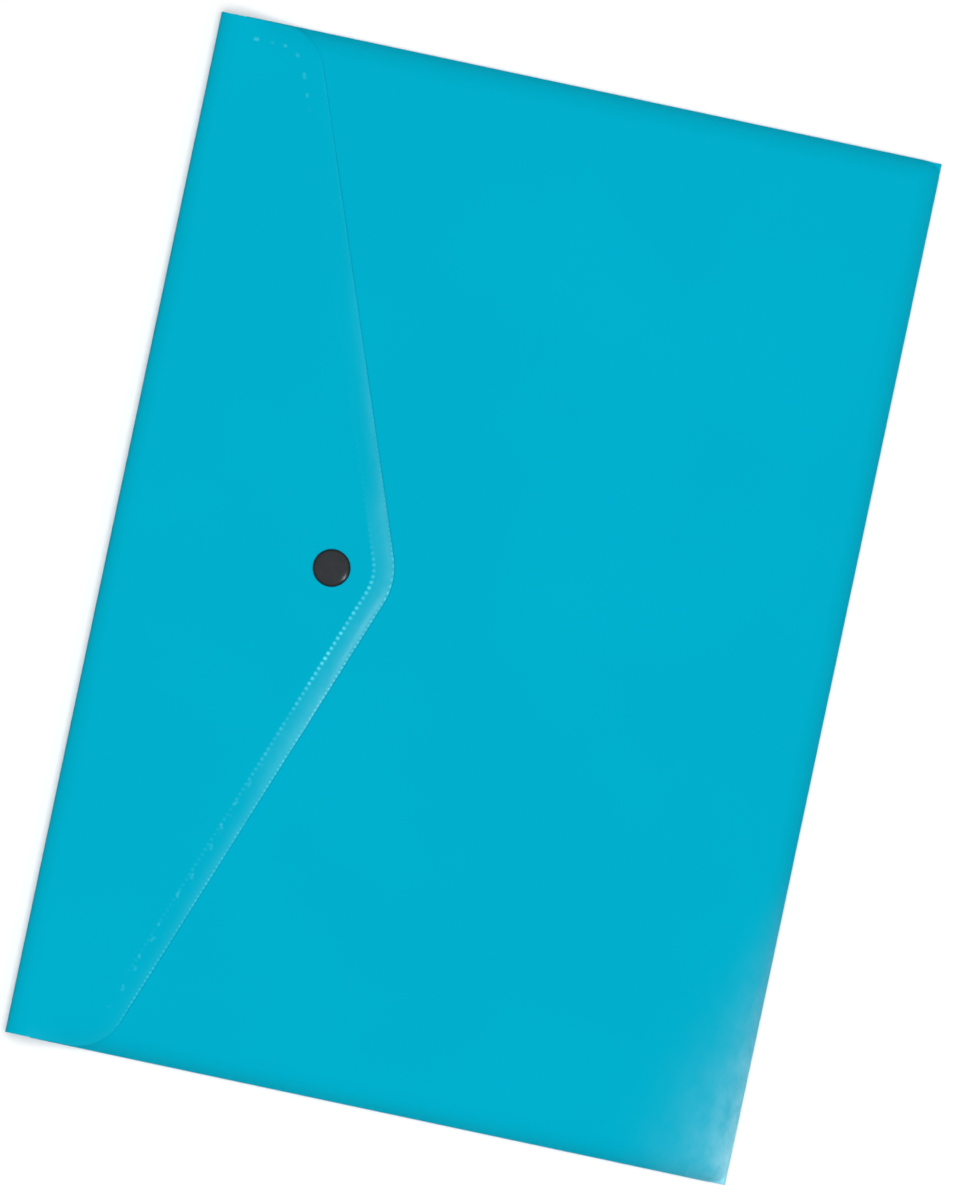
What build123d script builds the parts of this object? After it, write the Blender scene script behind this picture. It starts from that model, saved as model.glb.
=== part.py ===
from build123d import *
from math import asin, cos, degrees, radians, sin
import os

# Sheet and pocket
sheet_thickness = 0.4
wallet_length = 335.0
wallet_depth = 236.0
pocket_height = 6.0
side_rise_run = 9.2
seam_width = 1.8
lip_setback = 8.0

# Closed fold along the long edge
fold_inner_radius = 0.5
fold_lift_angle = 60.0

# Creases beside the spine strip
crease_clearance = 0.05
flap_lip_clearance = 0.2

# Flap outline and its embossed border line
flap_side_inset = 0.5
flap_shoulder_depth = 31.5
flap_point_depth = 92.7
flap_shoulder_radius = 16.0
flap_point_radius = 22.0
flap_tip_droop = 0.8
border_width = 6.0
border_line_width = 0.8
border_line_depth = 0.12
border_line_start = 3.0

# Press stud, cap side
snap_setback = 71.4
snap_land_radius = 7.0
snap_gauge = 0.3
snap_fit_clearance = 0.1
cap_radius = 6.05
cap_height = 1.9
cap_shoulder = 1.6
cap_crown_drop = 0.2
cap_rim_height = 0.7
cap_rim_round = 0.25
cap_hem_width = 0.95
post_radius = 1.5
post_flare = 0.6
socket_radius = 4.8
socket_round = 0.5
socket_stud_gap = 0.1
socket_mouth_clearance = 0.25
socket_head_clearance = 0.2
spring_wire_radius = 0.3
spring_grip = 0.15
spring_float = 0.05
spring_sweep_angle = 300.0

# Press stud, stud side
stud_flange_radius = 4.6
stud_height = 1.5
stud_bulb_radius = 2.1
stud_undercut = 0.4
stud_neck_height = 0.6
stud_crown = 0.35
eyelet_flange_radius = 4.4
eyelet_flare = 0.25
eyelet_head_clearance = 0.05

# Reach of cutting shapes past what they cut
cut_overrun = 12.0

# Levels and lines shared by the pieces
half_length = wallet_length / 2
half_depth = wallet_depth / 2
half_sheet = sheet_thickness / 2
weld_x = half_length - seam_width
flat_x = weld_x - side_rise_run
front_under = sheet_thickness + pocket_height
front_top = front_under + sheet_thickness
lip_y = half_depth - lip_setback
crease_y = half_depth - half_sheet
lower_crease_z = half_sheet
upper_crease_z = front_top + flap_lip_clearance + half_sheet
fold_outer_radius = fold_inner_radius + sheet_thickness
fold_y = fold_outer_radius - half_depth
fold_z = fold_outer_radius
seat_radius = half_sheet + crease_clearance

# Levels of the press stud
socket_height = stud_height + socket_head_clearance - socket_stud_gap + 2 * snap_gauge
stud_flange_top = front_top + snap_gauge
socket_base = stud_flange_top + socket_stud_gap
flap_under = socket_base + socket_height
flap_middle = flap_under + half_sheet
flap_top = flap_under + sheet_thickness
snap_y = crease_y - snap_setback
stud_bore = stud_bulb_radius - stud_undercut - snap_gauge
eyelet_radius = stud_bore - snap_fit_clearance
snap_place = Pos(0, snap_y, 0)


def lathe(face):
    """Turns a radius and height section about the press stud's axis."""
    return snap_place * revolve(Plane.XZ * face, Axis.Z)


def ring_section(corners):
    """Section with straight edges between its corners."""
    return make_face(Polyline(*corners, close=True))


def side_section(radius, top, base):
    """Area under the front panel across the length, rising from both seams."""
    lean = degrees(asin(side_rise_run / radius))
    left = CenterArc((-flat_x, top - radius), radius, 90 + lean, -lean)
    right = CenterArc((flat_x, top - radius), radius, 90, -lean)
    flat = Line(left @ 1, right @ 0)
    under = Polyline(right @ 1, (weld_x, base), (-weld_x, base), left @ 0)
    return make_face(left + flat + right + under)


def fold_section(offset, base):
    """Area under the front panel across the depth, from the closed fold to the lip."""
    lift = radians(fold_lift_angle)
    spare = pocket_height - fold_inner_radius * (1 + cos(lift))
    inner = spare / (1 - cos(lift))
    reach = inner - fold_inner_radius
    centre = (fold_y + reach * sin(lift), fold_z - reach * cos(lift))
    rise = CenterArc(centre, inner + offset, 90 + fold_lift_angle, -fold_lift_angle)
    top = Line(rise @ 1, (lip_y, front_under + offset))
    under = Polyline(top @ 1, (lip_y, base), (fold_y, base), (fold_y, fold_z), rise @ 0)
    return make_face(rise + top + under)


def pocket_form(offset, base):
    """Solid under the front panel's inner face, or under its outer face."""
    radius = (side_rise_run**2 + pocket_height**2) / (2 * pocket_height) + offset
    across = Plane.XZ * side_section(radius, front_under + offset, base)
    along = Plane.YZ * fold_section(offset, base)
    return extrude(across, half_depth, both=True) & extrude(along, half_length, both=True)


def front_panel():
    """Sheet over the pocket, with the hole for the stud's eyelet."""
    outer = pocket_form(sheet_thickness, sheet_thickness)
    inner = pocket_form(0, sheet_thickness - cut_overrun)
    hole = Pos(0, 0, front_under) * Cylinder(eyelet_radius + snap_fit_clearance, cut_overrun)
    return outer - inner - snap_place * hole


def back_panel():
    """Flat sheet that ends in a round bead along the lower crease."""
    length = crease_y - fold_y
    sheet = Pos(fold_y + length / 2, half_sheet) * Rectangle(length, sheet_thickness)
    bead = Pos(crease_y, lower_crease_z) * Circle(half_sheet)
    return extrude(Plane.YZ * (sheet + bead), half_length, both=True)


def bottom_fold():
    """Bend that joins the two sheets along the closed long edge."""
    turn = fold_lift_angle - 180
    outer = CenterArc((fold_y, fold_z), fold_outer_radius, 270, turn)
    inner = CenterArc((fold_y, fold_z), fold_inner_radius, 270, turn)
    ends = Line(outer @ 0, inner @ 0) + Line(outer @ 1, inner @ 1)
    return extrude(Plane.YZ * make_face(outer + inner + ends), weld_x, both=True)


def side_seam(side):
    """Welded margin on the back sheet, with the flattened end of the fold."""
    length = lip_y - fold_y
    margin = Pos(0, fold_y + length / 2, sheet_thickness) * Box(seam_width, length, sheet_thickness)
    lift = Pos(0, 0, half_sheet) * margin
    end_y = fold_y - fold_outer_radius / 2
    end = Pos(0, end_y, sheet_thickness) * Box(seam_width, fold_outer_radius, 2 * sheet_thickness)
    return Pos(side * (weld_x + seam_width / 2), 0, 0) * (lift + end)


def spine_strip():
    """Strip between the creases, seated on the lower bead and ending in the upper one."""
    height = upper_crease_z - lower_crease_z
    strip = Pos(crease_y, lower_crease_z + height / 2) * Rectangle(sheet_thickness, height)
    bead = Pos(crease_y, upper_crease_z) * Circle(half_sheet)
    seat = Pos(crease_y, lower_crease_z) * Circle(seat_radius)
    relief = Pos(crease_y - seat_radius, lower_crease_z) * Rectangle(2 * seat_radius, 2 * seat_radius)
    return extrude(Plane.YZ * (strip + bead - seat - relief), half_length, both=True)


def flap_line(offset):
    """Side view of the flap: a gentle rise to the press stud, then a slight droop."""
    rise = flap_middle - upper_crease_z
    run = snap_setback - snap_land_radius
    rise_radius = (run**2 + rise**2) / (2 * rise)
    rise_angle = degrees(asin(run / rise_radius))
    reach = flap_point_depth - snap_setback - snap_land_radius
    tip_radius = (reach**2 + flap_tip_droop**2) / (2 * flap_tip_droop)
    tip_angle = degrees(asin(reach / tip_radius))
    rise_centre = (snap_y + snap_land_radius, flap_middle - rise_radius)
    tip_centre = (snap_y - snap_land_radius, flap_middle - tip_radius)
    climb = CenterArc(rise_centre, rise_radius + offset, 90 - rise_angle, rise_angle)
    droop = CenterArc(tip_centre, tip_radius + offset, 90, tip_angle)
    return climb, Line(climb @ 1, droop @ 0), droop


def flap_sheet():
    """The flap's bent sheet before its outline is cut."""
    upper = flap_line(half_sheet)
    lower = flap_line(-half_sheet)
    ends = Line(upper[0] @ 0, lower[0] @ 0) + Line(upper[2] @ 1, lower[2] @ 1)
    return extrude(Plane.YZ * make_face([*upper, *lower, *ends]), half_length, both=True)


def flap_outline():
    """The flap's pointed plan outline, run on past the crease."""
    side = half_length - flap_side_inset
    back = crease_y + cut_overrun
    shoulder = crease_y - flap_shoulder_depth
    point = (0, crease_y - flap_point_depth)
    plan = make_face(Polyline((side, back), (side, shoulder), point, (-side, shoulder), (-side, back), close=True))
    plan = fillet(plan.vertices().group_by(Axis.Y)[1], flap_shoulder_radius)
    return fillet(plan.vertices().group_by(Axis.Y)[0], flap_point_radius)


def border_line(plan):
    """Band of the embossed line that follows the outline inside the border."""
    near = offset(plan, -(border_width - border_line_width / 2))
    far = offset(plan, -(border_width + border_line_width / 2))
    start_y = crease_y - border_line_start
    room = Pos(0, start_y - half_depth) * Rectangle(wallet_length, wallet_depth)
    return extrude((near - far) & room, flap_top + cut_overrun)


def flap():
    """Closing flap with its seat on the upper crease, border line and rivet hole."""
    sheet = flap_sheet()
    plan = flap_outline()
    body = sheet & extrude(plan, flap_top + cut_overrun)
    seat = Pos(0, crease_y, upper_crease_z) * Rot(0, 90, 0) * Cylinder(seat_radius, wallet_length)
    relief = Pos(0, crease_y, upper_crease_z - seat_radius) * Box(wallet_length, 2 * seat_radius, 2 * seat_radius)
    groove = border_line(plan) - Pos(0, 0, -border_line_depth) * sheet
    hole = Pos(0, 0, flap_middle) * Cylinder(post_radius + snap_fit_clearance, cut_overrun)
    return body - seat - relief - groove - snap_place * hole


def cap_skin(inset):
    """Crown and shoulder of the cap, from its centre to the top of its rim."""
    top = flap_top + cap_height - inset
    shoulder = (cap_radius - cap_shoulder, top - cap_crown_drop)
    crown_radius = (shoulder[0] ** 2 + cap_crown_drop**2) / (2 * cap_crown_drop)
    crown_angle = degrees(asin(shoulder[0] / crown_radius))
    crown = CenterArc((0, top - crown_radius), crown_radius, 90, -crown_angle)
    rim = (cap_radius - inset, flap_top + cap_rim_height)
    return crown, Spline(crown @ 1, rim, tangents=[crown % 1, (0, -1)])


def snap_cap():
    """Domed cap whose hem is turned in under the rivet's disc."""
    outer = cap_skin(0)
    inner = cap_skin(snap_gauge)
    round_top = (cap_radius, flap_top + cap_rim_round)
    round_foot = (cap_radius - cap_rim_round, flap_top)
    hem = cap_radius - cap_hem_width
    wall = Line(outer[1] @ 1, round_top)
    foot = RadiusArc(round_top, round_foot, cap_rim_round)
    under = Polyline(
        round_foot,
        (hem, flap_top),
        (hem, flap_top + snap_gauge),
        (cap_radius - snap_gauge, flap_top + snap_gauge),
        inner[1] @ 1,
    )
    middle = Line(inner[0] @ 0, outer[0] @ 0)
    return lathe(make_face([*outer, *inner, wall, foot, *under.edges(), middle]))


def snap_cap_rivet():
    """Disc inside the cap with a hollow post, clinched under the socket's base."""
    disc_top = flap_top + 2 * snap_gauge
    disc_under = flap_top + snap_gauge
    disc_radius = cap_radius - snap_gauge - snap_fit_clearance
    clinch_top = flap_under - snap_gauge
    clinch_under = clinch_top - snap_gauge
    bore = post_radius - snap_gauge
    corners = [
        (bore, disc_top),
        (disc_radius, disc_top),
        (disc_radius, disc_under),
        (post_radius, disc_under),
        (post_radius, clinch_top),
        (post_radius + post_flare, clinch_top),
        (post_radius + post_flare, clinch_under),
        (bore, clinch_under),
    ]
    return lathe(ring_section(corners))


def snap_socket():
    """Cup under the flap with an inward lip around its mouth."""
    hole = post_radius + snap_fit_clearance
    mouth = stud_bulb_radius + socket_mouth_clearance
    inside = socket_radius - snap_gauge
    bend = (socket_radius - socket_round, socket_base)
    bend_top = (socket_radius, socket_base + socket_round)
    corners = [
        bend,
        (mouth, socket_base),
        (mouth, socket_base + snap_gauge),
        (inside - (socket_round - snap_gauge), socket_base + snap_gauge),
        (inside, socket_base + socket_round),
        (inside, flap_under - snap_gauge),
        (hole, flap_under - snap_gauge),
        (hole, flap_under),
        (socket_radius, flap_under),
        bend_top,
    ]
    return lathe(make_face(Polyline(*corners) + RadiusArc(bend_top, bend, socket_round)))


def snap_socket_spring():
    """Split wire ring that lies loose on the socket's lip and grips under the stud's bulb."""
    ring_radius = stud_bulb_radius - spring_grip + spring_wire_radius
    level = socket_base + snap_gauge + spring_float + spring_wire_radius
    wire = Plane.XZ * Pos(ring_radius, level) * Circle(spring_wire_radius)
    return snap_place * revolve(wire, Axis.Z, spring_sweep_angle)


def snap_stud():
    """Flanged stud with a narrow neck and a wider bulb, hollow for its eyelet."""
    neck = stud_bulb_radius - stud_undercut
    top = stud_flange_top + stud_height
    ledge = top - 2 * snap_gauge - eyelet_head_clearance
    cavity = eyelet_radius + eyelet_flare + snap_fit_clearance
    crown = (stud_bulb_radius, top - stud_crown)
    crown_end = (stud_bulb_radius - stud_crown, top)
    corners = [
        crown_end,
        (0, top),
        (0, top - snap_gauge),
        (cavity, top - snap_gauge),
        (cavity, ledge),
        (stud_bore, ledge),
        (stud_bore, front_top),
        (stud_flange_radius, front_top),
        (stud_flange_radius, stud_flange_top),
        (neck, stud_flange_top),
        (neck, stud_flange_top + stud_neck_height),
        crown,
    ]
    return lathe(make_face(Polyline(*corners) + RadiusArc(crown, crown_end, -stud_crown)))


def snap_stud_eyelet():
    """Flange inside the pocket with a hollow post, clinched inside the stud's bulb."""
    ledge = stud_flange_top + stud_height - 2 * snap_gauge - eyelet_head_clearance
    bore = eyelet_radius - snap_gauge
    corners = [
        (bore, front_under - snap_gauge),
        (eyelet_flange_radius, front_under - snap_gauge),
        (eyelet_flange_radius, front_under),
        (eyelet_radius, front_under),
        (eyelet_radius, ledge),
        (eyelet_radius + eyelet_flare, ledge),
        (eyelet_radius + eyelet_flare, ledge + snap_gauge),
        (bore, ledge + snap_gauge),
    ]
    return lathe(ring_section(corners))


pieces = {
    "back_panel": back_panel(),
    "front_panel": front_panel(),
    "bottom_fold": bottom_fold(),
    "left_side_seam": side_seam(-1),
    "right_side_seam": side_seam(1),
    "spine_strip": spine_strip(),
    "flap": flap(),
    "snap_cap": snap_cap(),
    "snap_cap_rivet": snap_cap_rivet(),
    "snap_socket": snap_socket(),
    "snap_socket_spring": snap_socket_spring(),
    "snap_stud": snap_stud(),
    "snap_stud_eyelet": snap_stud_eyelet(),
}

os.makedirs("parts", exist_ok=True)
for name, piece in pieces.items():
    export_step(piece, f"parts/{name}.step")
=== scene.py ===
import math

import bpy
import numpy as np
from mathutils import Matrix


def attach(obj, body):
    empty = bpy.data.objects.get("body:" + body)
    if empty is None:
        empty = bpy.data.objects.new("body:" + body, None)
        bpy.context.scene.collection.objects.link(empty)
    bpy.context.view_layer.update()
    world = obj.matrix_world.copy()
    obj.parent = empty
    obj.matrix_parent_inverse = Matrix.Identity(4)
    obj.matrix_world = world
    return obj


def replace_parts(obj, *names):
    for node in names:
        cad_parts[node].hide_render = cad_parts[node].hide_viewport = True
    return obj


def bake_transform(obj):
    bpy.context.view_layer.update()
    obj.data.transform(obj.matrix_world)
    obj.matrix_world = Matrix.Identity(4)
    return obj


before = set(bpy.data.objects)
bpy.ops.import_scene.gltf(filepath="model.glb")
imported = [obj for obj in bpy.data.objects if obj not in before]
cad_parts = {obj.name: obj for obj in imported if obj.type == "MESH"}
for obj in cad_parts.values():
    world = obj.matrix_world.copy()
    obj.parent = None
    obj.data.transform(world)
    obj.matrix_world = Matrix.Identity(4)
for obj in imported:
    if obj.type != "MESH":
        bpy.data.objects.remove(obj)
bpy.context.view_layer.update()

# Sizes in millimetres, in the solids' frame: x along the creases, y from the closed fold to the mouth
MM = 0.001
SHEET = 0.4

# Pocket: its outline, the rounded rims of the front sheet, and the bend of the closed fold
HALF_LENGTH = 167.5
HALF_DEPTH = 118.0
FRONT_TOP = 6.8
LIP_Y = 110.0
RIM_RADIUS = 10.7
RIM_RUN = 9.56
RIM_EXTRA = 3.0
RIM_WIDENS_FROM = 85.0
RIM_WIDENS_OVER = 82.0
CORNER_POWER = 4.5
LOWEST = 0.75
SOFT = 0.2
EDGE_GAP = 0.12
FOLD_RADIUS = 0.7
FOLD_Y = -117.1
FOLD_Z = 0.9
FOLD_TOP_ANGLE = 150.0

# Small waves of the front sheet near the ends of its fold: radians per mm along x and y, turn, height
PUCKER_REACH = 44.0
PUCKERS = (
    (0.31, 0.22, 0.4, 0.014),
    (0.12, -0.43, 1.7, 0.016),
    (-0.52, 0.17, 2.9, 0.009),
    (0.63, 0.58, 5.1, 0.006),
    (0.21, 0.81, 3.6, 0.005),
)

# Welded side seams
SEAM_REACH = 0.62
SEAM_INNER = 1.4
SEAM_STAND = 0.17
NOTCH_DEPTH = 0.05
NOTCH_PITCH = 1.7

# Spine and creases: the back sheet and the flap's sheet meet at the middle of the spine
CREASE_Y = 117.8
MID_SPINE_Z = 3.4
SPINE_STEP = 0.2
LOWER_BEND = 1.2

# Flap: its outline, and the heights and bends of its middle surface
FLAP_HALF = 167.0
FLAP_START_Y = 111.0
SHOULDER_DEPTH = 31.5
SHOULDER_RADIUS = 16.0
POINT_DEPTH = 92.7
POINT_RADIUS = 22.0
FLAP_LOW = 7.2
FLAP_HIGH = 9.6
FLAP_REST = 7.35
TENT_REACH = 50.0
TIP_DROOP = 0.8
SIDE_DROOP = 3.4
SIDE_DROOP_RUN = 10.5
CURL_RUN = 8.2

# Border of the flap: how far in its marks lie, and their spacing along it
BORDER = 6.5
FLECKS_INSET = BORDER - 0.8
LIP_INSET = 0.35
DOT_PITCH = 1.9
BEAD_PITCH = 1.6
DASH_PITCH = 5.6
LIVELY_X = -20.0
LIVELY_REACH = 54.0
# Painted sheen on the border's band, and how much of the painted highlight colour it also gets
SHEEN_AMOUNT = 0.19
SHEEN_HIGHLIGHT_SHARE = 1.67

# Mesh of the flap: how far in each ring of its border lies, the ring along which the marks are spaced,
# the points on a short side, and a distance for points inside all the rings
RING_INSETS = np.concatenate([
    [0.0, 0.12, 0.26, 0.42, 0.6, 0.8, 1.0, 1.6, 2.3, 3.0, 3.7, 4.4, 4.9],
    np.arange(5.5, 7.65, 0.1),
    [7.9, 8.4, 9.0],
])
MEASURED_RING = 21
SIDE_POINTS = 33
FAR_INSIDE = 99.0

# Press stud
SNAP_Y = 46.4
SNAP_LAND = 7.0
STUD_CLEAR = 26.0
CAP_RADIUS = 6.05
CAP_FOOT = 9.8
CAP_GAUGE = 0.3
CAP_RIM = 0.5
CAP_RISE = 1.4
CAP_ROUND = 0.25
CAP_HEM = 5.1
CAP_STEPS = 128
# Painted shade at the cap's rim, between these radii
CAP_SHADE_FROM = 5.2
CAP_SHADE_TO = 5.9

# Edges that turn by more than this stay square in the shading
SHARP_ANGLE = math.radians(38.0)

# Colours
PLASTIC_DEEP = (0.0, 0.418, 0.592)
PLASTIC_PALE = (0.0, 0.434, 0.611)
# Painted sheen, and painted highlights, mixed into the plastic's colour
SHEEN_COLOUR = (0.30, 0.74, 0.89)
HIGHLIGHT_COLOUR = (0.13, 0.82, 0.97)
NICKEL_DEEP = (0.140, 0.152, 0.168)
NICKEL_PALE = (0.164, 0.178, 0.196)
# Painted shade at the cap's rim
NICKEL_RIM_SHADE = (0.05, 0.06, 0.075)
WIRE_DEEP = (0.38, 0.38, 0.40)
WIRE_PALE = (0.56, 0.56, 0.58)
WHITE = (1.0, 1.0, 1.0)
BLACK = (0.0, 0.0, 0.0)
DIM = (0.04, 0.04, 0.04)


# Numbers and meshes


def smooth(t):
    """Eased step from 0 to 1."""
    t = np.clip(t, 0.0, 1.0)
    return t * t * (3.0 - 2.0 * t)


def spread(*spans):
    """Sample places along a line: each span is (from, to, number of steps)."""
    places = [spans[0][0]]
    for low, high, steps in spans:
        places.extend(low + (high - low) * (k + 1) / steps for k in range(steps))
    return np.array(places)


def both_sides(right):
    """Places on both sides of the middle, from the middle and those on its right."""
    return np.concatenate([-right[:0:-1], right])


def arc_points(start, end, count):
    """Points on a unit circle between two angles."""
    turn = np.linspace(start, end, count)
    return np.stack([np.cos(turn), np.sin(turn)], axis=-1)


def row_at(x, y, z):
    """Row of points; a coordinate may be one number for the whole row."""
    return np.stack(np.broadcast_arrays(x, y, z), axis=-1)


def join_rows(rows):
    """Points of equally long rows, and the grid of their numbers."""
    points = np.concatenate(rows)
    return points, np.arange(len(points)).reshape(len(rows), -1)


def padded(values, count):
    """Values for the first points of a piece, with nothing for the rest."""
    return np.concatenate([values, np.zeros(count - len(values))])


def grid_quads(ids):
    """Faces between the neighbouring rows and columns of a grid of point numbers."""
    a, b, c, d = ids[:-1, :-1], ids[1:, :-1], ids[1:, 1:], ids[:-1, 1:]
    return np.stack([a, b, c, d], axis=-1).reshape(-1, 4)


def point_normals(points, quads):
    """Unit normals at the points of a quad mesh."""
    p = points[quads]
    across = np.cross(p[:, 2] - p[:, 0], p[:, 3] - p[:, 1])
    normals = np.zeros_like(points)
    for corner in range(4):
        np.add.at(normals, quads[:, corner], across)
    return normals / np.maximum(np.linalg.norm(normals, axis=1, keepdims=True), 1e-12)


def rim_edges(quads):
    """Directed edges that only one face uses."""
    pairs = np.concatenate([quads[:, [k, (k + 1) % 4]] for k in range(4)])
    keys = np.sort(pairs, axis=1)
    _, place, count = np.unique(keys, axis=0, return_index=True, return_counts=True)
    return pairs[place[count == 1]]


def add_mesh(name, points, faces, material):
    """Mesh object from points in millimetres, shaded smooth with its square edges kept."""
    mesh = bpy.data.meshes.new(name)
    mesh.from_pydata((points * MM).tolist(), [], faces)
    mesh.update()
    mesh.shade_smooth()
    mesh.set_sharp_from_angle(angle=SHARP_ANGLE)
    mesh.materials.append(material)
    piece = bpy.data.objects.new(name, mesh)
    bpy.context.scene.collection.objects.link(piece)
    return piece


def add_sheet(name, middle, quads, material, raised=None):
    """Plastic sheet of even thickness around a middle surface whose faces look outwards."""
    normals = point_normals(middle, quads)
    outer = middle + normals * (SHEET / 2)
    inner = middle - normals * (SHEET / 2)
    if raised is not None:
        outer = outer + normals * raised[:, None]
        inner = inner + normals * raised[:, None]
    count = len(middle)
    rim = rim_edges(quads)
    wall = np.stack([rim[:, 1], rim[:, 0], rim[:, 0] + count, rim[:, 1] + count], axis=-1)
    faces = np.concatenate([quads, quads[:, ::-1] + count, wall])
    return add_mesh(name, np.concatenate([outer, inner]), faces.tolist(), material)


def set_amount(piece, name, amount):
    """How strongly a mixed-in colour shows at each point of a piece, from 0 to 1."""
    layer = piece.data.attributes.new(name, "FLOAT", "POINT")
    layer.data.foreach_set("value", np.clip(amount, 0.0, 1.0).astype(np.float32))


# Materials


def new_material(name):
    material = bpy.data.materials.new(name)
    material.use_nodes = True
    nodes, links = material.node_tree.nodes, material.node_tree.links
    return material, nodes, links, nodes["Principled BSDF"]


def add_noise(nodes, links, place, scale, detail, roughness=0.5):
    noise = nodes.new("ShaderNodeTexNoise")
    noise.inputs["Scale"].default_value = scale
    noise.inputs["Detail"].default_value = detail
    noise.inputs["Roughness"].default_value = roughness
    links.new(place, noise.inputs["Vector"])
    return noise.outputs["Fac"]


def add_ramp(nodes, links, factor, low, high):
    """Colour between two, over the middle values of a noise."""
    ramp = nodes.new("ShaderNodeValToRGB")
    ramp.color_ramp.elements[0].position = 0.3
    ramp.color_ramp.elements[1].position = 0.7
    ramp.color_ramp.elements[0].color = (*low, 1.0)
    ramp.color_ramp.elements[1].color = (*high, 1.0)
    links.new(factor, ramp.inputs["Fac"])
    return ramp.outputs["Color"]


def add_range(nodes, links, factor, low, high):
    """Number between two, over the middle values of a noise."""
    span = nodes.new("ShaderNodeMapRange")
    span.inputs["From Min"].default_value = 0.3
    span.inputs["From Max"].default_value = 0.7
    span.inputs["To Min"].default_value = low
    span.inputs["To Max"].default_value = high
    links.new(factor, span.inputs["Value"])
    return span.outputs["Result"]


def add_bump(nodes, links, height, shader, distance, strength):
    bump = nodes.new("ShaderNodeBump")
    bump.inputs["Distance"].default_value = distance
    bump.inputs["Strength"].default_value = strength
    links.new(height, bump.inputs["Height"])
    links.new(bump.outputs["Normal"], shader.inputs["Normal"])


def add_layer(nodes, name):
    """The amounts that set_amount keeps on a piece's points."""
    layer = nodes.new("ShaderNodeAttribute")
    layer.attribute_name = name
    return layer.outputs["Fac"]


def add_tint(nodes, links, tone, name, factor, colour):
    """Colour mixed in where a point layer says, made uneven by a factor."""
    amount = nodes.new("ShaderNodeMath")
    amount.operation = "MULTIPLY"
    amount.use_clamp = True
    links.new(add_layer(nodes, name), amount.inputs[0])
    links.new(factor, amount.inputs[1])
    mix = nodes.new("ShaderNodeMixRGB")
    links.new(amount.outputs["Value"], mix.inputs["Fac"])
    links.new(tone, mix.inputs["Color1"])
    mix.inputs["Color2"].default_value = (*colour, 1.0)
    return mix.outputs["Color"]


def plastic_material():
    """Glossy polypropylene with painted sheen and painted highlights in its colour, and duller where the
    painted sheen lies.
    """
    material, nodes, links, shader = new_material("plastic_sheet")
    place = nodes.new("ShaderNodeTexCoord").outputs["Object"]
    cloud = add_noise(nodes, links, place, scale=14.0, detail=3.0)
    tone = add_ramp(nodes, links, cloud, PLASTIC_DEEP, PLASTIC_PALE)
    along = nodes.new("ShaderNodeMapping")
    along.inputs["Scale"].default_value = (0.6, 1.0, 1.0)
    links.new(place, along.inputs["Vector"])
    patch = add_noise(nodes, links, along.outputs["Vector"], scale=170.0, detail=5.0, roughness=0.7)
    uneven = add_range(nodes, links, patch, 0.5, 1.5)
    # Painted sheen, then painted highlights, mixed into the colour
    tone = add_tint(nodes, links, tone, "painted_sheen", uneven, SHEEN_COLOUR)
    even = add_range(nodes, links, patch, 0.75, 1.25)
    tone = add_tint(nodes, links, tone, "painted_highlight", even, HIGHLIGHT_COLOUR)
    links.new(tone, shader.inputs["Base Color"])
    # Roughness rises where the painted sheen lies
    dull = nodes.new("ShaderNodeMapRange")
    dull.inputs["From Max"].default_value = 0.25
    dull.inputs["To Max"].default_value = 0.42
    links.new(add_layer(nodes, "painted_sheen"), dull.inputs["Value"])
    links.new(add_range(nodes, links, patch, 0.10, 0.13), dull.inputs["To Min"])
    links.new(dull.outputs["Result"], shader.inputs["Roughness"])
    shader.inputs["Specular IOR Level"].default_value = 0.25
    fine = add_noise(nodes, links, place, scale=1300.0, detail=2.0, roughness=0.6)
    add_bump(nodes, links, fine, shader, distance=0.00005, strength=0.06)
    return material


def nickel_material():
    """Dark plated metal with painted shade at the cap's rim, and faint turning marks around the press
    stud's axis.
    """
    material, nodes, links, shader = new_material("dark_nickel")
    place = nodes.new("ShaderNodeTexCoord").outputs["Object"]
    shift = nodes.new("ShaderNodeMapping")
    shift.inputs["Location"].default_value = (0.0, -SNAP_Y * MM, 0.0)
    links.new(place, shift.inputs["Vector"])
    rings = nodes.new("ShaderNodeTexWave")
    rings.wave_type = "RINGS"
    rings.rings_direction = "Z"
    rings.inputs["Scale"].default_value = 900.0
    rings.inputs["Distortion"].default_value = 1.5
    rings.inputs["Detail"].default_value = 2.0
    links.new(shift.outputs["Vector"], rings.inputs["Vector"])
    cloud = add_noise(nodes, links, place, scale=420.0, detail=4.0, roughness=0.6)
    tone = add_ramp(nodes, links, cloud, NICKEL_DEEP, NICKEL_PALE)
    # Painted shade, growing towards the cap's rim
    flat = nodes.new("ShaderNodeVectorMath")
    flat.operation = "MULTIPLY"
    flat.inputs[1].default_value = (1.0, 1.0, 0.0)
    links.new(shift.outputs["Vector"], flat.inputs[0])
    reach = nodes.new("ShaderNodeVectorMath")
    reach.operation = "LENGTH"
    links.new(flat.outputs["Vector"], reach.inputs[0])
    edge = nodes.new("ShaderNodeMapRange")
    edge.inputs["From Min"].default_value = CAP_SHADE_FROM * MM
    edge.inputs["From Max"].default_value = CAP_SHADE_TO * MM
    links.new(reach.outputs["Value"], edge.inputs["Value"])
    shaded = nodes.new("ShaderNodeMixRGB")
    links.new(edge.outputs["Result"], shaded.inputs["Fac"])
    links.new(tone, shaded.inputs["Color1"])
    shaded.inputs["Color2"].default_value = (*NICKEL_RIM_SHADE, 1.0)
    links.new(shaded.outputs["Color"], shader.inputs["Base Color"])
    links.new(add_range(nodes, links, cloud, 0.22, 0.27), shader.inputs["Roughness"])
    add_bump(nodes, links, rings.outputs["Fac"], shader, distance=0.00002, strength=0.10)
    shader.inputs["Metallic"].default_value = 0.75
    return material


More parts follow.
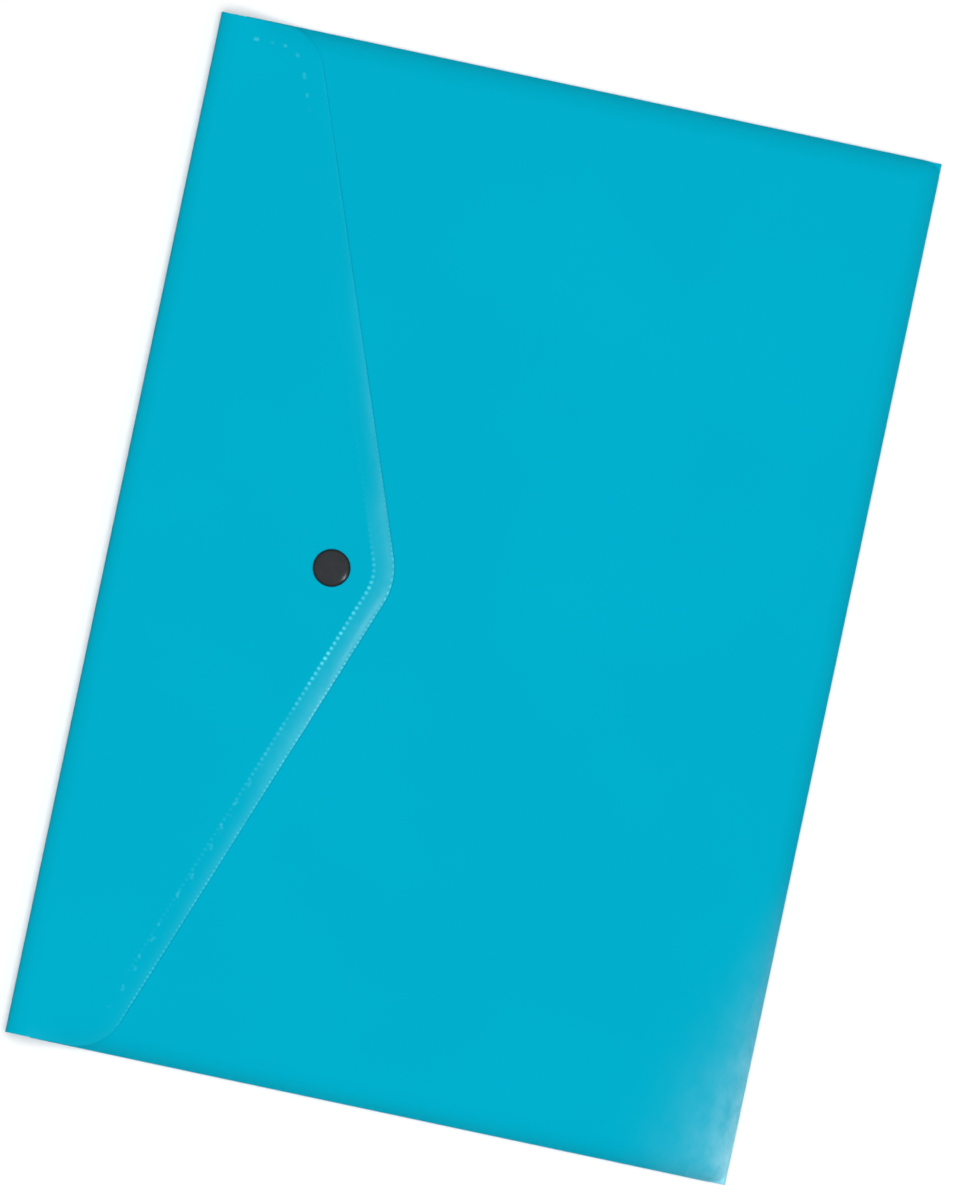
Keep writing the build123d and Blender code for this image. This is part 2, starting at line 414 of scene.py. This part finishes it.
def wire_material():
    """Drawn steel wire."""
    material, nodes, links, shader = new_material("spring_wire")
    place = nodes.new("ShaderNodeTexCoord").outputs["Object"]
    cloud = add_noise(nodes, links, place, scale=1600.0, detail=3.0)
    tone = add_ramp(nodes, links, cloud, WIRE_DEEP, WIRE_PALE)
    links.new(tone, shader.inputs["Base Color"])
    links.new(add_range(nodes, links, cloud, 0.25, 0.4), shader.inputs["Roughness"])
    shader.inputs["Metallic"].default_value = 0.9
    return material


plastic = plastic_material()
nickel = nickel_material()
wire = wire_material()


# Front sheet and closed fold


def rim_drop(lean):
    """How far the front sheet has fallen where it leans out by a run past the level part."""
    return RIM_RADIUS - np.sqrt(RIM_RADIUS**2 - np.minimum(lean, RIM_RADIUS) ** 2)


def pucker(x, y):
    """Small irregular waves, as height."""
    waves = np.zeros_like(x)
    for per_x, per_y, turn, height in PUCKERS:
        waves = waves + height * np.sin(per_x * x + per_y * y + turn)
    return waves


def front_height(x, y):
    """Middle surface of the front sheet over the pocket."""
    top = FRONT_TOP - SHEET / 2
    end = smooth((np.abs(x) - RIM_WIDENS_FROM) / RIM_WIDENS_OVER) * np.where(x < 0, 1.0, 0.35)
    run = RIM_RUN + RIM_EXTRA * end
    side = np.maximum(RIM_RUN - HALF_LENGTH + np.abs(x), 0.0)
    fold = np.maximum(run - HALF_DEPTH - y, 0.0) * RIM_RUN / run
    lean = (side**CORNER_POWER + fold**CORNER_POWER) ** (1 / CORNER_POWER)
    level = top - rim_drop(lean)
    clear = 1.0 - np.exp(-((x / STUD_CLEAR) ** 2) - ((y - SNAP_Y) / STUD_CLEAR) ** 2)
    inside = smooth(level / top)
    wave = 0.10 * np.sin(x / 31.0 + 0.6) * np.sin(y / 27.0 + 1.1)
    wave = wave + 0.05 * np.sin((x + y) / 17.0) * np.sin((x - 1.3 * y) / 23.0 + 0.4)
    near = smooth(2.0 * end * smooth(1.0 - (y + HALF_DEPTH) / PUCKER_REACH))
    level = level + (wave * clear + pucker(x, y) * near) * inside
    return LOWEST + SOFT * np.logaddexp(0.0, (level - LOWEST) / SOFT)


def corner_sheen(x, y):
    """Painted sheen along the closed fold, growing towards its corner at low x."""
    from_side = x + HALF_LENGTH
    from_fold = y + HALF_DEPTH
    near = np.clip(1.0 - from_side / 112.0, 0.0, 1.0) ** 1.7
    width = smooth(1.0 - from_side / 130.0)
    rounded = 0.45 + 0.55 * smooth((from_side - 2.0) / 7.0)
    thin = 1.05 * np.exp(-from_fold / (1.0 + 2.6 * width * rounded))
    broad = 0.22 * np.exp(-((from_fold / (2.0 + 16.0 * width)) ** 2))
    return near * (thin + broad)


def build_front():
    x = both_sides(spread((0.0, 150.0, 50), (150.0, 158.0, 12), (158.0, HALF_LENGTH - EDGE_GAP, 30)))
    y = spread(
        (EDGE_GAP - HALF_DEPTH, -108.0, 30),
        (-108.0, -98.0, 10),
        (-98.0, LIP_Y - 2.0, 70),
        (LIP_Y - 2.0, LIP_Y, 4),
    )
    start = front_height(x, np.full_like(x, y[0]))
    share = start / start[len(start) // 2]
    rows = []
    for angle in np.radians(np.linspace(270.0, FOLD_TOP_ANGLE, 15)[:-1]):
        bend_z = SHEET / 2 + (FOLD_Z + FOLD_RADIUS * math.sin(angle) - SHEET / 2) * share
        rows.append(row_at(x, FOLD_Y + FOLD_RADIUS * math.cos(angle), bend_z))
    for row_y in y:
        rows.append(row_at(x, row_y, front_height(x, np.full_like(x, row_y))))
    middle, ids = join_rows(rows)
    sheet = add_sheet("front_sheet", middle, grid_quads(ids)[:, ::-1], plastic)
    # Painted sheen along the closed fold, on both skins of the sheet
    set_amount(sheet, "painted_sheen", np.tile(corner_sheen(middle[:, 0], middle[:, 1]), 2))
    return sheet


# Back sheet, lower crease and lower half of the spine


def build_back():
    x = both_sides(spread((0.0, 160.0, 40), (160.0, HALF_LENGTH - 0.1, 8)))
    bend_y = CREASE_Y - LOWER_BEND
    bend_z = SHEET / 2 + LOWER_BEND
    path = [(y, SHEET / 2) for y in spread((FOLD_Y, bend_y - 3.0, 60), (bend_y - 3.0, bend_y, 6))]
    for angle in np.radians(np.linspace(-90.0, 0.0, 13)[1:]):
        path.append((bend_y + LOWER_BEND * math.cos(angle), bend_z + LOWER_BEND * math.sin(angle)))
    path.extend((CREASE_Y, z) for z in spread((bend_z, MID_SPINE_Z, 8))[1:])
    rows = []
    for y, z in path:
        narrow = 1.0 - 0.4 / HALF_LENGTH * smooth((z - 0.5) / (MID_SPINE_Z - 0.5))
        rows.append(row_at(x * narrow, y, z))
    middle, ids = join_rows(rows)
    return add_sheet("back_sheet", middle, grid_quads(ids), plastic)


# Flap, upper crease and upper half of the spine


def flap_level(x, y):
    """Middle surface of the flap before its border is shaped."""
    run = CREASE_Y - SNAP_Y - SNAP_LAND
    rise_radius = (run**2 + (FLAP_HIGH - FLAP_LOW) ** 2) / (2 * (FLAP_HIGH - FLAP_LOW))
    lean = np.maximum(y - (SNAP_Y + SNAP_LAND), 0.0)
    climb = FLAP_HIGH - FLAP_LOW - (rise_radius - np.sqrt(rise_radius**2 - lean**2))
    reach = POINT_DEPTH - (CREASE_Y - SNAP_Y) - SNAP_LAND
    tip = np.maximum(SNAP_Y - SNAP_LAND - y, 0.0)
    climb = climb - TIP_DROOP * (tip / reach) ** 2
    aside = np.maximum(np.abs(x) - SNAP_LAND, 0.0)
    tent = 0.12 + 0.88 * np.exp(-((aside / TENT_REACH) ** 2))
    return FLAP_LOW + climb * tent


def side_droop(x, y):
    """Fall of the flap's short sides, which follow the rounded edges of the pocket."""
    share = np.clip(1.0 - (FLAP_HALF - np.abs(x)) / SIDE_DROOP_RUN, 0.0, 1.0)
    return SIDE_DROOP * share**2 * smooth((FLAP_START_Y - y) / 14.0)


def off_crease(y):
    """From 0 at the crease to 1 a few millimetres down the flap."""
    return smooth((FLAP_START_Y - y) / 6.0)


def liveliness(x):
    """How strongly the border is bent and marked: most beside the tip, fading to both sides."""
    fall = np.where(x < LIVELY_X, 1.27, 1.65)
    return np.exp(-((np.abs(x - LIVELY_X) / LIVELY_REACH) ** fall))


def flap_height(x, y, inset):
    """Middle surface of the flap with its border curled down to the pocket."""
    level = flap_level(x, y)
    bend = np.clip(1.0 - inset / CURL_RUN, 0.0, 1.0) ** 2.4 * off_crease(y)
    edge = np.clip(1.0 - inset / 0.9, 0.0, 1.0) ** 2
    curl = (0.10 + 0.85 * (level - FLAP_REST)) * bend + (0.03 + 0.07 * liveliness(x)) * edge
    return level - side_droop(x, y) - curl


def flap_rings():
    """Points along the flap's outline, set in by each distance, from one crease corner to the other."""
    shoulder_y = CREASE_Y - SHOULDER_DEPTH
    lean = math.atan((POINT_DEPTH - SHOULDER_DEPTH) / FLAP_HALF)
    out_x, out_y = math.sin(lean), -math.cos(lean)
    drop = SHOULDER_RADIUS * (1 - out_x) / -out_y
    shoulder = np.array([FLAP_HALF - SHOULDER_RADIUS, shoulder_y + drop])
    point = np.array([0.0, shoulder_y + (POINT_RADIUS - out_x * FLAP_HALF) / -out_y])
    slope_angle = lean - math.pi / 2
    share = np.linspace(0.0, 1.0, 600)[1:-1, None]
    rings = []
    for inset in RING_INSETS:
        arc = shoulder + (SHOULDER_RADIUS - inset) * arc_points(0.0, slope_angle, 48)
        side_y = np.linspace(FLAP_START_Y, arc[0, 1], SIDE_POINTS)
        side = np.stack([np.full(SIDE_POINTS, FLAP_HALF - inset), side_y], axis=-1)
        tip = point + (POINT_RADIUS - inset) * arc_points(slope_angle, -math.pi / 2, 21)
        slope = arc[-1] + (tip[0] - arc[-1]) * share
        half = np.concatenate([side[:-1], arc, slope, tip])
        rings.append(np.concatenate([half, half[-2::-1] * np.array([-1.0, 1.0])]))
    return np.array(rings)


def flap_field(ring):
    """Points of the field inside the innermost ring, in rows from the crease down to the ring."""
    columns = ring[SIDE_POINTS - 1 : 1 - SIDE_POINTS]
    top = np.stack([columns[:, 0], np.full(len(columns), FLAP_START_Y)], axis=-1)
    return top + (columns - top) * np.linspace(0.0, 1.0, SIDE_POINTS)[:, None, None]


def flap_numbers(rings, field):
    """Point numbers of the rings and of the field, whose edge uses the points of the innermost ring."""
    ring_ids = np.arange(rings[..., 0].size).reshape(rings.shape[:2])
    field_ids = ring_ids.size + np.arange(field[..., 0].size).reshape(field.shape[:2])
    field_ids[-1] = ring_ids[-1, SIDE_POINTS - 1 : 1 - SIDE_POINTS]
    field_ids[:, 0] = ring_ids[-1, :SIDE_POINTS]
    field_ids[:, -1] = ring_ids[-1, ::-1][:SIDE_POINTS]
    return ring_ids, field_ids


def crease_rows(edge):
    """Rows that carry the flap's edge round the upper crease to the middle of the spine."""
    x, z = edge[:, 0], edge[:, 2]
    rows = []
    for angle in np.radians(np.linspace(90.0, 0.0, 19)[1:]):
        row_y = FLAP_START_Y + (CREASE_Y - FLAP_START_Y) * math.cos(angle)
        row_z = MID_SPINE_Z + SPINE_STEP + (z - MID_SPINE_Z - SPINE_STEP) * math.sin(angle)
        rows.append(row_at(x, row_y, row_z))
    rows.append(row_at(x, CREASE_Y, MID_SPINE_Z))
    return rows


def wave_along(travel, pitch, turn=0.0):
    return np.cos(2 * math.pi * travel / pitch + turn)


def border_marks(ring):
    """Marks of the border from 0 to 1: line and lip across it, dots and beads along it, flecks, dashes."""
    steps = np.linalg.norm(np.diff(ring, axis=0), axis=1)
    travel = np.concatenate([[0.0], np.cumsum(steps)])
    travel = travel - travel[len(travel) // 2]
    uneven = 0.68 + 0.32 * np.sin(travel / 3.7) * np.sin(travel / 2.3 + 0.8)
    line_width = np.where(RING_INSETS < BORDER, 0.9, 0.65)
    line = np.clip(1.3 * (1.0 - np.abs(RING_INSETS - BORDER) / line_width), 0.0, 1.0)
    lip = np.exp(-(((RING_INSETS - LIP_INSET) / 0.30) ** 2))
    dots = smooth(0.5 + 0.9 * wave_along(travel, DOT_PITCH)) * uneven
    beads = smooth(0.5 + 0.7 * wave_along(travel, BEAD_PITCH, 0.9)) * uneven
    wander = FLECKS_INSET + 0.6 * np.sin(travel / 1.3 + 2.0 * np.sin(travel / 5.0))
    trail = np.clip(1.3 * (1.0 - np.abs(RING_INSETS[:, None] - wander) / 0.55), 0.0, 1.0)
    chance = np.sin(travel / 0.61) + np.sin(travel / 0.94 + 1.0) + np.sin(travel / 1.37 + 2.2)
    flecks = trail * smooth(chance - 0.5)
    beat = wave_along(travel, DASH_PITCH, 1.4 * np.sin(travel / 4.0))
    dashes = np.outer(line, smooth(2.5 * beat - 1.2) * uneven**2)
    return line, lip, dots, beads, flecks, dashes


def border_relief(marks, x, y):
    """How far the dots of the line and the beads of the lip stand out, at the points of the rings."""
    line, lip, dots, beads, _, _ = marks
    relief = np.outer(line, 0.02 + 0.20 * dots) + np.outer(lip, 0.09 * beads)
    return relief.ravel() * (off_crease(y) * (0.15 + 0.85 * liveliness(x)))


def border_sheen(x, inset):
    """Painted sheen along the bent border, deepest beside the tip and ending at the line."""
    depth = 1.3 + 1.3 * smooth((x + 85.0) / 30.0) * smooth((32.0 - x) / 18.0)
    sheen = SHEEN_AMOUNT * (1.0 - np.exp(-2.6 * liveliness(x))) * np.exp(-inset / depth)
    return sheen * (1.0 - 0.6 * np.exp(-((inset / 0.8) ** 2))) * smooth((BORDER + 0.6 - inset) / 0.9)


def border_highlights(marks, x, y):
    """Painted highlights on the marks: dots and beads beside the tip, flecks at low x and dashes at high x.
    """
    line, lip, dots, beads, flecks, dashes = marks
    lively = liveliness(x)
    faint = 0.07 - 0.05 * np.tanh((x + 20.0) / 30.0)
    lower = smooth((14.0 - x) / 20.0)
    line_seen = 0.6 * faint + 1.25 * lively**2.4 * (0.1 + 0.9 * lower)
    line_seen = line_seen * smooth((150.0 - np.abs(x)) / 24.0)
    lip_seen = 3.0 * faint + lively**1.5 * (0.55 + 0.45 * lower)
    lip_seen = lip_seen * smooth((163.0 - np.abs(x)) / 12.0)
    flecks_seen = 0.20 * smooth((-x - 45.0) / 40.0) * smooth((158.0 - np.abs(x)) / 16.0)
    dashes_seen = 0.50 * smooth((x - 136.0) / 26.0) * off_crease(y)
    white = np.outer(line, dots).ravel() * line_seen + np.outer(lip, beads).ravel() * lip_seen
    return white + flecks.ravel() * flecks_seen + dashes.ravel() * dashes_seen


def build_flap():
    rings = flap_rings()
    field = flap_field(rings[-1])
    ring_ids, field_ids = flap_numbers(rings, field)
    x, y = np.concatenate([rings.reshape(-1, 2), field.reshape(-1, 2)]).T
    inset = np.concatenate([np.repeat(RING_INSETS, rings.shape[1]), np.full(field_ids.size, FAR_INSIDE)])
    middle = row_at(x, y, flap_height(x, y, inset))

    first = np.concatenate([ring_ids[:-1, 0], field_ids[0], ring_ids[-2::-1, -1]])
    crease, crease_ids = join_rows(crease_rows(middle[first]))
    crease_ids = np.concatenate([first[None], crease_ids + len(middle)])
    middle = np.concatenate([middle, crease])
    quads = np.concatenate([
        grid_quads(ring_ids)[:, ::-1],
        grid_quads(field_ids),
        grid_quads(crease_ids)[:, ::-1],
    ])

    marks = border_marks(rings[MEASURED_RING])
    ring_x, ring_y = x[: ring_ids.size], y[: ring_ids.size]
    raised = padded(border_relief(marks, ring_x, ring_y), len(middle))
    sheet = add_sheet("flap_sheet", middle, quads, plastic, raised)
    # Painted sheen on the border's band, and painted highlights on its marks
    sheen = padded(border_sheen(x, inset), len(middle))
    white = padded(border_highlights(marks, ring_x, ring_y), len(middle))
    set_amount(sheet, "painted_sheen", np.tile(sheen, 2))
    set_amount(sheet, "painted_highlight", np.tile(SHEEN_HIGHLIGHT_SHARE * sheen + white, 2))
    return sheet


front = build_front()
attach(front, "wallet")
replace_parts(front, "front_panel", "bottom_fold")

back = build_back()
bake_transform(back)
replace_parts(back, "back_panel")

flap = build_flap()
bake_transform(flap)
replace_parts(flap, "flap", "spine_strip")


# Welded side seams


def build_seam(name, side):
    """Sealed bead along a short edge, notched by the welding tool."""
    y = np.linspace(0.15 - HALF_DEPTH, LIP_Y, 700)
    top = front_height(np.full_like(y, HALF_LENGTH - EDGE_GAP), y) + SEAM_STAND
    notch = NOTCH_DEPTH * (0.5 + 0.5 * np.cos(2 * math.pi * y / NOTCH_PITCH)) ** 4
    rows = []
    for angle in np.radians(np.linspace(100.0, -90.0, 12)):
        out = HALF_LENGTH - SEAM_REACH + (SEAM_REACH - notch) * math.cos(angle)
        rows.append(row_at(side * out, y, top / 2 * (1.0 + math.sin(angle))))
    rows.append(row_at(side * (HALF_LENGTH - SEAM_INNER), y, 0.0))
    rows.append(row_at(side * (HALF_LENGTH - SEAM_INNER), y, top * 0.8))
    points, ids = join_rows(rows)
    quads = grid_quads(np.concatenate([ids, ids[:1]]))
    faces = (quads if side > 0 else quads[:, ::-1]).tolist()
    first, last = ids[:, 0].tolist(), ids[:, -1].tolist()
    faces += [first, last[::-1]] if side > 0 else [first[::-1], last]
    seam = add_mesh(name, points, faces, plastic)
    # Painted sheen on the left seam near the closed fold, added to the fold's painted sheen
    seam_sheen = 0.35 * np.exp(-(points[:, 1] + HALF_DEPTH) / 30.0) * (side < 0)
    set_amount(seam, "painted_sheen", corner_sheen(points[:, 0], points[:, 1]) + seam_sheen)
    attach(seam, "wallet")
    return seam


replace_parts(build_seam("left_seam", -1), "left_side_seam")
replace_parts(build_seam("right_seam", 1), "right_side_seam")


# Press stud: a turned cap, and the other pieces shown by their own solids


def build_cap():
    """Domed cap with its hem rolled in under it."""
    share = np.sin(np.linspace(0.0, math.pi / 2, 40))[1:]
    dome = CAP_RIM + CAP_RISE * np.maximum(1.0 - share**2.6, 0.0) ** 0.625
    outside = np.stack([CAP_RADIUS * share, dome], axis=-1)
    foot = CAP_ROUND * (arc_points(0.0, -math.pi / 2, 7) + (0.0, 1.0)) + (CAP_RADIUS - CAP_ROUND, 0.0)
    inner_radius = CAP_RADIUS - CAP_GAUGE
    hem = np.array([(CAP_HEM, 0.0), (CAP_HEM, CAP_GAUGE), (inner_radius, CAP_GAUGE)])
    inside = np.stack([inner_radius * share, dome - CAP_GAUGE * (1.0 - share**6)], axis=-1)[::-1]
    profile = np.concatenate([outside, foot, hem, inside])
    angle = np.arange(CAP_STEPS) * 2 * math.pi / CAP_STEPS
    rows = [row_at(r * np.cos(angle), SNAP_Y + r * np.sin(angle), CAP_FOOT + z) for r, z in profile]
    points, ids = join_rows(rows)
    peak = CAP_FOOT + CAP_RIM + CAP_RISE
    middle = [(0.0, SNAP_Y, peak), (0.0, SNAP_Y, peak - CAP_GAUGE)]
    top, under = len(points), len(points) + 1
    ids = np.concatenate([ids, ids[:, :1]], axis=1)
    faces = grid_quads(ids).tolist()
    faces += [[top, int(a), int(b)] for a, b in zip(ids[0, :-1], ids[0, 1:])]
    faces += [[under, int(b), int(a)] for a, b in zip(ids[-1, :-1], ids[-1, 1:])]
    return add_mesh("turned_cap", np.concatenate([points, middle]), faces, nickel)


cap = build_cap()
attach(cap, "flap")
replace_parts(cap, "snap_cap")

for node in ("snap_cap_rivet", "snap_socket", "snap_stud", "snap_stud_eyelet"):
    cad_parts[node].data.materials[0] = nickel
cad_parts["snap_socket_spring"].data.materials[0] = wire


# Floor, in metres, just under the wallet and out of its reflections

FLOOR_SIZE = 8.0
FLOOR_Z = -0.0003

bpy.ops.mesh.primitive_plane_add(size=FLOOR_SIZE, location=(0.0, 0.0, FLOOR_Z))
floor = bpy.context.object
floor.name = "floor"
floor_material, _, _, floor_shader = new_material("floor")
floor_shader.inputs["Base Color"].default_value = (*WHITE, 1.0)
floor_shader.inputs["Roughness"].default_value = 0.9
floor_shader.inputs["Specular IOR Level"].default_value = 0.0
floor.data.materials.append(floor_material)
floor.visible_glossy = False


# Light: an even studio with a small soft box on the side of the closed fold


def add_area(name, place, size, power, glossy):
    """Square lamp that faces the middle of the wallet, seen in reflections only if glossy."""
    light = bpy.data.lights.new(name, "AREA")
    light.cycles.use_multiple_importance_sampling = glossy
    light.shape = "RECTANGLE"
    light.size = size
    light.size_y = size
    light.energy = power
    lamp = bpy.data.objects.new(name, light)
    bpy.context.scene.collection.objects.link(lamp)
    z = np.array(place) / np.linalg.norm(place)
    x = np.cross((0.0, 0.001, 1.0), z)
    x /= np.linalg.norm(x)
    turn = np.eye(4)
    turn[:3, :] = np.stack([x, np.cross(z, x), z, place], axis=-1)
    lamp.matrix_world = Matrix(turn.tolist())
    lamp.visible_glossy = glossy
    lamp.visible_camera = False


add_area("overhead", place=(0.0, 0.0, 4.0), size=4.0, power=187.0, glossy=False)
add_area("soft_box", place=(-0.80, -1.61, 1.74), size=0.50, power=3.5, glossy=True)


def add_background(nodes, colour, strength):
    background = nodes.new("ShaderNodeBackground")
    background.inputs["Color"].default_value = (*colour, 1.0)
    background.inputs["Strength"].default_value = strength
    return background


def build_world():
    """Faint even light, white to the camera, and to reflections dark with a dim band near the horizon."""
    world = bpy.data.worlds.new("studio")
    bpy.context.scene.world = world
    world.use_nodes = True
    nodes, links = world.node_tree.nodes, world.node_tree.links
    nodes.clear()
    path = nodes.new("ShaderNodeLightPath")
    around = add_background(nodes, WHITE, 0.10)
    seen = add_background(nodes, WHITE, 1.0)
    mirrored = add_background(nodes, BLACK, 1.0)
    way = nodes.new("ShaderNodeTexCoord")
    split = nodes.new("ShaderNodeSeparateXYZ")
    links.new(way.outputs["Generated"], split.inputs["Vector"])
    height = nodes.new("ShaderNodeValToRGB")
    height.color_ramp.interpolation = "EASE"
    height.color_ramp.elements[0].position = 0.0
    height.color_ramp.elements[0].color = (*BLACK, 1.0)
    height.color_ramp.elements[1].position = 0.55
    height.color_ramp.elements[1].color = (*BLACK, 1.0)
    height.color_ramp.elements.new(0.18).color = (*DIM, 1.0)
    links.new(split.outputs["Z"], height.inputs["Fac"])
    links.new(height.outputs["Color"], mirrored.inputs["Color"])
    glossy_mix = nodes.new("ShaderNodeMixShader")
    links.new(path.outputs["Is Glossy Ray"], glossy_mix.inputs["Fac"])
    links.new(around.outputs["Background"], glossy_mix.inputs[1])
    links.new(mirrored.outputs["Background"], glossy_mix.inputs[2])
    camera_mix = nodes.new("ShaderNodeMixShader")
    links.new(path.outputs["Is Camera Ray"], camera_mix.inputs["Fac"])
    links.new(glossy_mix.outputs["Shader"], camera_mix.inputs[1])
    links.new(seen.outputs["Background"], camera_mix.inputs[2])
    output = nodes.new("ShaderNodeOutputWorld")
    links.new(camera_mix.outputs["Shader"], output.inputs["Surface"])


build_world()


# Camera straight above, turned as the photograph shows; the picture's height at the wallet is in metres

PICTURE_HEIGHT = 0.3851
PICTURE_LEVEL = 0.001
SHIFT_RIGHT = 0.0027
SHIFT_UP = -0.0006
VIEW_TURN = math.radians(12.0)

camera_data = bpy.data.cameras.new("camera")
camera_data.sensor_width = 36.0
camera_data.lens = 250.0
camera_data.clip_end = 50.0
camera = bpy.data.objects.new("camera", camera_data)
bpy.context.scene.collection.objects.link(camera)
up = np.array([math.cos(VIEW_TURN), math.sin(VIEW_TURN), 0.0])
right = np.array([math.sin(VIEW_TURN), -math.cos(VIEW_TURN), 0.0])
above = PICTURE_HEIGHT * camera_data.lens / camera_data.sensor_width + PICTURE_LEVEL
place = right * SHIFT_RIGHT + up * SHIFT_UP + np.array([0.0, 0.0, above])
pose = np.eye(4)
pose[:3, :] = np.stack([right, up, (0.0, 0.0, 1.0), place], axis=-1)
camera.matrix_world = Matrix(pose.tolist())
bpy.context.scene.camera = camera
bpy.context.scene.view_settings.view_transform = "Standard"
